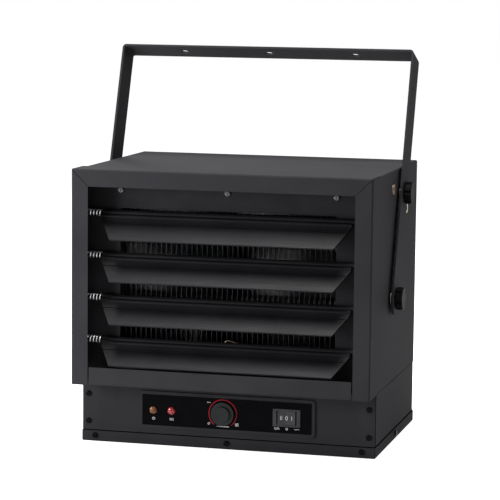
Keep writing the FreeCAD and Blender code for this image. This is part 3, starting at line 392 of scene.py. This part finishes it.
red_ink = Finish("red_ink", Specular_IOR_Level=0.1)
red_ink.colour(red_ink.noise(1500, 2), (0.20, 0.004, 0.010), (0.28, 0.007, 0.015))
red_ink.gloss(red_ink.noise(900, 2), 0.35, 0.5)
print("lenses and inks ready")

# %% [markdown]
# ## Dressing the solids
# Each solid keeps its shape and takes its finish by name. A list per finish is easier to check than
# a line per solid, and the cell lists what is left bare: the springs and the lenses, which come next.

# %% Finishes on the solids
louvre_numbers = range(1, 5)
dress = {
    coat: ["casing_wrap", "hood_top_rail", "hood_left_rail", "hood_right_rail", "front_panel",
           "lower_casing", "base_tray", "back_panel", "bracket"],
    blade_coat_and_shade: [f"louvre_{number}" for number in louvre_numbers],
    plate_coat: ["outlet_plate"],
    inner_shade_coat: ["fan_guard", "louvre_carrier_left", "louvre_carrier_right"],
    zinc: ["partition_plate", "element_plates", "motor_bracket"],
    dull_nickel: ["outlet_plate_screws"],
    bright: ["fan_shaft", "thermostat_shaft", "motor_screws"],
    blackened: ["front_panel_screws", "tray_screws", "back_panel_screws"] + [
        f"louvre_pins_{number}" for number in louvre_numbers],
    brass: ["side_inserts"],
    tinned: ["capillary_bulb"],
    rolled: ["fan_blades"],
    shaded_fin_sheet: ["heater_fins"],
    heated: ["heating_element_1", "heating_element_2", "heating_element_3"],
    motor_paint: ["fan_motor"],
    grained: ["thermostat_knob", "lamp_bodies", "cable_gland"],
    switch_plastic: ["switch_housing", "rocker"],
    polished: ["pivot_knob_left", "pivot_knob_right", "lock_knob_left", "lock_knob_right"],
    film: ["control_overlay"],
    pale: ["thermostat_body", "terminal_block", "thermal_cutout"],
    nylon: ["pivot_spacers"],
}
bare = set(nodes)
for finish, names in dress.items():
    for name in names:
        for slot in nodes[name].material_slots:
            slot.material = finish.material
        bare.remove(name)
print("without a finish so far:", sorted(bare))

# %% [markdown]
# ## Louvre springs
# Each louvre is held at its angle by a bright wound spring on its left pin. The wire follows a helix: its
# angle grows evenly while it moves along the axis, and its two ends run out straight towards the carrier
# and the blade. A curve with a round bevel could show it too, but sweeping a round profile along that line
# gives a closed mesh at once.

# %% Louvre springs
wire_radius, coil_radius = 0.0007, 0.00345
turns, points_per_turn, wire_sides = 5, 48, 12
straight_share = 0.05


def spring_line(low, high):
    """x goes evenly from low to high, and y and z go round the axis by cosine and minus sine.

    The angle stands still in the straight share at each end. The second result points out of the coil.
    """
    share = np.linspace(0, 1, points_per_turn * turns)
    angle = 2 * np.pi * turns * np.clip((share - straight_share) / (1 - 2 * straight_share), 0, 1)
    out = np.stack([np.zeros_like(angle), np.cos(angle), -np.sin(angle)], axis=1)
    line = (low + high) / 2 + coil_radius * out
    line[:, 0] = low[0] + (high[0] - low[0]) * share
    return line, out


for number in louvre_numbers:
    line, out = spring_line(*np.array(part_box(f"louvre_spring_{number}")))
    along = np.gradient(line, axis=0)
    along /= np.linalg.norm(along, axis=1, keepdims=True)
    out -= along * np.einsum("ij,ij->i", along, out)[:, None]
    out /= np.linalg.norm(out, axis=1, keepdims=True)
    spring = swept(f"spring_wire_{number}", line, out, np.cross(along, out),
                   round_profile(wire_radius, wire_sides), "casing", spring_plate)
    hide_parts(f"louvre_spring_{number}")
    print(spring.name, len(spring.data.polygons), "faces")

# %% [markdown]
# ## Lamp lenses
# The two lenses are small cut domes. A dome is a profile turned about its axis: its radius falls as its
# height grows. It could be smooth, but few sides and flat shading leave the facets that make such a lens
# sparkle.

# %% Lamp lenses
lens_sides, collar_share = 12, 0.35
dome_steps = np.array([0.0, 0.35, 0.7, 0.93])


def cut_dome(name, centre, radius, height, finish):
    """After a foot ring of radius R, a ring has radius R cos(t) and stands H (c + (1 - c) sin(t)) out.

    t goes from 0 to nearly a right angle, and c is the collar's share of the height.
    """
    angle = dome_steps * np.pi / 2
    out = height * np.append(0.0, collar_share + (1 - collar_share) * np.sin(angle))
    size = radius * np.append(1.0, np.cos(angle))
    circle = round_profile(1.0, lens_sides) @ np.array([to_right, to_top])
    rings = centre + out[:, None, None] * to_front + size[:, None, None] * circle
    return ring_piece(name, rings, "casing", finish, smooth=False)


panel_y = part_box("control_overlay")[0][1]
for colour, finish in (("amber", amber), ("red", ruby)):
    low, high = np.array(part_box(f"{colour}_lamp_lens"))
    middle_x, _, middle_z = (low + high) / 2
    lens = cut_dome(f"{colour}_cut_lens", np.array([middle_x, panel_y, middle_z]),
                    (high - low)[0] / 2, panel_y - low[1], finish)
    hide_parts(f"{colour}_lamp_lens")
    print(lens.name, "at", round(middle_x, 4), round(middle_z, 4))

# %% [markdown]
# ## Printed marks
# The dial has a thin red ring, open below, and three small white signs: a ring for off, one wave for low
# and three waves for high. A wedge under the knob grows from low to high. A picture on the panel could
# show them, but it would blur close up. So each mark is a strip of ink: a flat profile carried along
# a line in the plane of the panel, a tenth of a millimetre high.

# %% Ink
ink_height = 0.0001
fine, thin, bold = 0.0005, 0.0006, 0.0009


def ink(name, x, z, width, finish, y=panel_y, body="casing"):
    """A strip through the points (x, z); across is the line's direction turned by a right angle."""
    line = np.stack([x, np.full_like(x, y), z], axis=1)
    along = np.gradient(line, axis=0)
    along /= np.linalg.norm(along, axis=1, keepdims=True)
    mark = swept(name, line, np.cross(along, to_front), to_front, flat_profile(width, ink_height),
                 body, finish, smooth=False)


print("ink is", ink_height * 1000, "mm high")

# %% Lines for the signs
off_radius, off_end, sign_points = 0.0011, 352, 33
wave_height, wave_points = 0.00035, 31


def arc(x, z, radius, first, last, count, flatten=1.0):
    """Points on a circle, with degrees counted clockwise from the top; flatten narrows it to an oval."""
    angle = np.radians(np.linspace(first, last, count))
    return x + flatten * radius * np.sin(angle), z + radius * np.cos(angle)


def off_ring(x, z, radius=off_radius, count=sign_points, flatten=1.0):
    """An arc that goes round so far that its two ends almost meet."""
    return arc(x, z, radius, 0, off_end, count, flatten)


def upright_bar(x, low, high):
    """The two ends of an upright line."""
    return np.array([x, x]), np.array([low, high])


def level_wave(x, z, length):
    """A sine of one and a half periods, lying level."""
    share = np.linspace(-0.5, 0.5, wave_points)
    return x + length * share, z + wave_height * np.sin(3 * np.pi * share)


print("rings, bars and waves ready")

# %% Dial marks
dial_x, _, dial_z = np.mean(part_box("thermostat_knob"), axis=0)
dial_radius, dial_end, dial_points = 0.0162, 142, 97
dial_wave, wave_step = 0.0042, 0.0012
off_x, off_z = dial_x - 0.0162, dial_z - 0.0118
low_x, low_z = dial_x - 0.0165, dial_z + 0.0125
high_x, high_z = dial_x + 0.0166, dial_z - 0.0128
ink("dial_ring", *arc(dial_x, dial_z, dial_radius, -dial_end, dial_end, dial_points), bold, red_ink)
ink("dial_off", *off_ring(off_x, off_z), fine, white_ink)
ink("dial_low", *level_wave(low_x, low_z, dial_wave), fine, white_ink)
for step in range(3):
    ink(f"dial_high_{step}", *level_wave(high_x, high_z + wave_step * step, dial_wave), fine, white_ink)

wedge_half, wedge_drop, low_half, high_half = 0.0072, 0.0146, 0.0001, 0.0005
wedge = np.array([[-wedge_half, -low_half], [wedge_half, -high_half],
                  [wedge_half, high_half], [-wedge_half, low_half]])
wedge_foot = np.array([dial_x, panel_y, dial_z - wedge_drop])
wedge_mark = swept("dial_wedge", [wedge_foot, wedge_foot + ink_height * to_front], to_right, to_top,
                   wedge, "casing", white_ink, smooth=False)
print("dial marks around", round(dial_x, 4), round(dial_z, 4))

# %% [markdown]
# ## Signs under the lamps and the switch
# The amber lamp tells that the heater has power, the red one that it heats, and the switch chooses high,
# off or low. Simple signs say so in any language: a ring with a bar, standing waves, and level waves on
# both sides of a ring. They are strips of ink too, so the same functions print them.

# %% Signs under the lamps
amber_x, red_x = (np.mean(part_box(f"{colour}_lamp_lens"), axis=0)[0] for colour in ("amber", "red"))
lamp_z, sign_half = dial_z - 0.0098, 0.0014
power_gap, bar_low, bar_high = 40, 0.0003, 0.0018
heat_step, heat_sway, heat_points = 0.0017, 0.0003, 25
ink("power_ring", *arc(amber_x, lamp_z, sign_half, power_gap, 360 - power_gap, sign_points), fine,
    white_ink)
ink("power_bar", *upright_bar(amber_x, lamp_z + bar_low, lamp_z + bar_high), fine, white_ink)
wave = np.linspace(-1, 1, heat_points)
for number, place in enumerate((-1, 0, 1)):
    ink(f"heat_wave_{number}", red_x + heat_step * place + heat_sway * np.sin(2 * np.pi * wave),
        lamp_z + sign_half * wave, fine, white_ink)
print("signs at", round(amber_x, 4), "and", round(red_x, 4))

# %% Signs under the switch
housing_low, housing_high = np.array(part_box("switch_housing"))
switch_x = (housing_low + housing_high)[0] / 2
below_z = housing_low[2] - 0.0026
beside, switch_wave, half_step = 0.0115, 0.0062, 0.0007
for number, rise in enumerate((-half_step, half_step)):
    ink(f"switch_high_{number}", *level_wave(switch_x - beside, below_z + rise, switch_wave), fine,
        white_ink)
ink("switch_off", *off_ring(switch_x, below_z), fine, white_ink)
ink("switch_low", *level_wave(switch_x + beside, below_z, switch_wave), fine, white_ink)
print("signs under the switch at", round(switch_x, 4))

# %% [markdown]
# ## Marks that move
# The rocker carries its own signs: two bars, a narrow ring and one bar. They could be left on the casing,
# but then they would stay behind when it tips. So they ride on the rocker's body.

# %% Rocker signs
rocker_low, rocker_high = np.array(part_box("rocker"))
half_width, dish, lift = (rocker_high - rocker_low)[0] / 2, 0.0012, 0.00002
bar_places, half_sign = (-0.0068, -0.0053, 0.0062), 0.0023
ring_edge, ring_points, ring_flatten = 0.0012, 41, 0.45


def rocker_face(offset):
    """The dish is deepest in the middle and rises evenly to both edges; the ink stands off by a hair."""
    return rocker_low[1] + dish * (1 - abs(offset) / half_width) - lift


for number, offset in enumerate(bar_places):
    ink(f"rocker_bar_{number}", *upright_bar(switch_x + offset, dial_z - half_sign, dial_z + half_sign),
        thin, white_ink, rocker_face(offset), "rocker")
ink("rocker_ring", *off_ring(switch_x, dial_z, half_sign, ring_points, ring_flatten), thin, white_ink,
    rocker_face(ring_edge), "rocker")
print("signs ride on the rocker")

# %% [markdown]
# ## Seams
# Fine black lines run above the tray and down the front corners of the control box, where sheets meet.
# They are painted shade: thin near-black strips laid in the seams stand in for the shade in the gaps
# between the sheets. A flat painted line would have no depth at the corner, so they are strips. A small
# profile is carried along each seam: on the tray's rim it leans against the wall, and at a corner it fills
# the groove beside the fold and bulges a little.

# %% Painted seam shade
# Painted shade: near-black strips in the seams stand in for the shade in the gaps between the sheets.
seam_shade = Finish("painted_seam_shade", Specular_IOR_Level=0.0)
seam_shade.colour(seam_shade.noise(300, 2), (0.0005, 0.0005, 0.0006), (0.0009, 0.0009, 0.001))
seam_shade.gloss(seam_shade.noise(300, 2), 0.6, 0.7)
rim_width, rim_height = 0.0007, 0.001
groove, bulge, shoulder = 0.002, 0.0004, 0.0013
rim_shade = np.array([[0.0, 0.0], [rim_width, 0.0], [0.0, rim_height]])
corner_shade = np.array([[groove, 0.0], [-bulge, 0.0], [-bulge, shoulder], [0.0, groove]])


def shade_strip(name, start, end, across, above, profile):
    """A straight sweep from start to end; the profile's two numbers count along across and above."""
    seam = swept(name, [start, end], across, above, profile, "casing", seam_shade, smooth=False)


print("sealant:", seam_shade.material.name)

# %% Strips of painted shade in the seams
tray_low, tray_high = np.array(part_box("base_tray"))
(left_x, wall_y, _), (right_x, back_y, wall_top) = np.array(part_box("lower_casing"))
rim_z = tray_high[2]
# The walls begin one sheet behind the panel's face, and the tray's lip begins one sheet before it.
face_y = (tray_low[1] + wall_y) / 2
for side, y, out in (("front", face_y, to_front), ("back", back_y, -to_front)):
    shade_strip(f"{side}_bead", (left_x, y, rim_z), (right_x, y, rim_z), out, to_top, rim_shade)
for side, x, out in (("left", left_x, -to_right), ("right", right_x, to_right)):
    shade_strip(f"{side}_bead", (x, face_y, rim_z), (x, back_y, rim_z), out, to_top, rim_shade)
    shade_strip(f"{side}_corner_shade", (x, wall_y, rim_z), (x, wall_y, wall_top), -out, -to_front, corner_shade)
# The strips are painted shade for the dark seams above the tray and at the corners.
print("beads of sealant on", round(rim_z, 4), "and at the corners")

# %% [markdown]
# ## White surroundings
# The heater stands in a white studio. A very strong light could bleach the background, but it would
# bleach the heater too. So the world is white where the camera and the reflections see it, and much
# weaker where it lights the object.


# %% World
def seen_directly(tree):
    """1 for camera, glossy and transmitted rays, 0 for the rest."""
    path = tree.nodes.new("ShaderNodeLightPath")
    total = path.outputs["Is Camera Ray"]
    for other in ("Is Glossy Ray", "Is Transmission Ray"):
        add = tree.nodes.new("ShaderNodeMath")
        add.operation = "MAXIMUM"
        tree.links.new(total, add.inputs[0])
        tree.links.new(path.outputs[other], add.inputs[1])
        total = add.outputs[0]
    return total


lit_strength, seen_strength = 0.06, 1.0
world = bpy.data.worlds.new("white_studio")
scene.world = world
world.use_nodes = True
tree = world.node_tree
tree.nodes.clear()
mix = tree.nodes.new("ShaderNodeMixShader")
for place, strength in ((1, lit_strength), (2, seen_strength)):
    background = tree.nodes.new("ShaderNodeBackground")
    background.inputs["Color"].default_value = (1, 1, 1, 1)
    background.inputs["Strength"].default_value = strength
    tree.links.new(background.outputs[0], mix.inputs[place])
output = tree.nodes.new("ShaderNodeOutputWorld")
tree.links.new(seen_directly(tree), mix.inputs["Fac"])
tree.links.new(mix.outputs[0], output.inputs["Surface"])
print("world:", world.name)

# %% [markdown]
# ## Floor
# A wide pale floor carries the heater and its shadow. A white one would throw too much light up under
# the louvres, so its paint is grey, and a glow that only the camera and the reflections see makes it
# white.

# %% Floor
floor_grey, floor_roughness, floor_glow, reach = 0.6, 0.9, 0.9, 9.0
floor_paint = bpy.data.materials.new("pale_floor")
floor_paint.use_nodes = True
tree = floor_paint.node_tree
shader = tree.nodes["Principled BSDF"]
shader.inputs["Base Color"].default_value = (floor_grey, floor_grey, floor_grey, 1)
shader.inputs["Roughness"].default_value = floor_roughness
shader.inputs["Emission Color"].default_value = (1, 1, 1, 1)
glow = tree.nodes.new("ShaderNodeMath")
glow.operation = "MULTIPLY"
glow.inputs[1].default_value = floor_glow
tree.links.new(seen_directly(tree), glow.inputs[0])
tree.links.new(glow.outputs[0], shader.inputs["Emission Strength"])
mesh = bpy.data.meshes.new("floor")
mesh.from_pydata([(-reach, -reach, 0), (reach, -reach, 0), (reach, reach, 0), (-reach, reach, 0)], [],
                 [(0, 1, 2, 3)])
mesh.materials.append(floor_paint)
floor = placed("floor", mesh)
print("floor", 2 * reach, "m wide")

# %% [markdown]
# ## Lamps
# A softbox hangs above the heater and a little in front, so that each louvre shades the next. A smaller
# one near the front left lifts the upright faces, and weak ones behind and at the right keep those sides
# readable. One bare bulb would draw hard shadows, and square lamps of up to a metre soften them.

# %% Lamps
lamp_aim = Vector((0, 0, 0.2))


def lamp(name, place, size, power):
    """A square area lamp that looks from its place to the heater."""
    data = bpy.data.lights.new(name, "AREA")
    data.size = size
    data.energy = power
    light = placed(name, data)
    light.matrix_world = Matrix.Translation(place) @ (
        lamp_aim - Vector(place)).to_track_quat("-Z", "Y").to_matrix().to_4x4()


lamp("overhead_softbox", (-0.15, -0.5, 2.3), size=1.0, power=99)
lamp("front_softbox", (-0.8, -0.8, 0.3), size=0.5, power=13.5)
lamp("back_softbox", (-1.6, 2.0, 1.1), size=1.0, power=25)
lamp("side_softbox", (1.8, 0.4, 1.0), size=1.0, power=8)
print("four softboxes, aimed", round(lamp_aim.z, 2), "m above the floor")
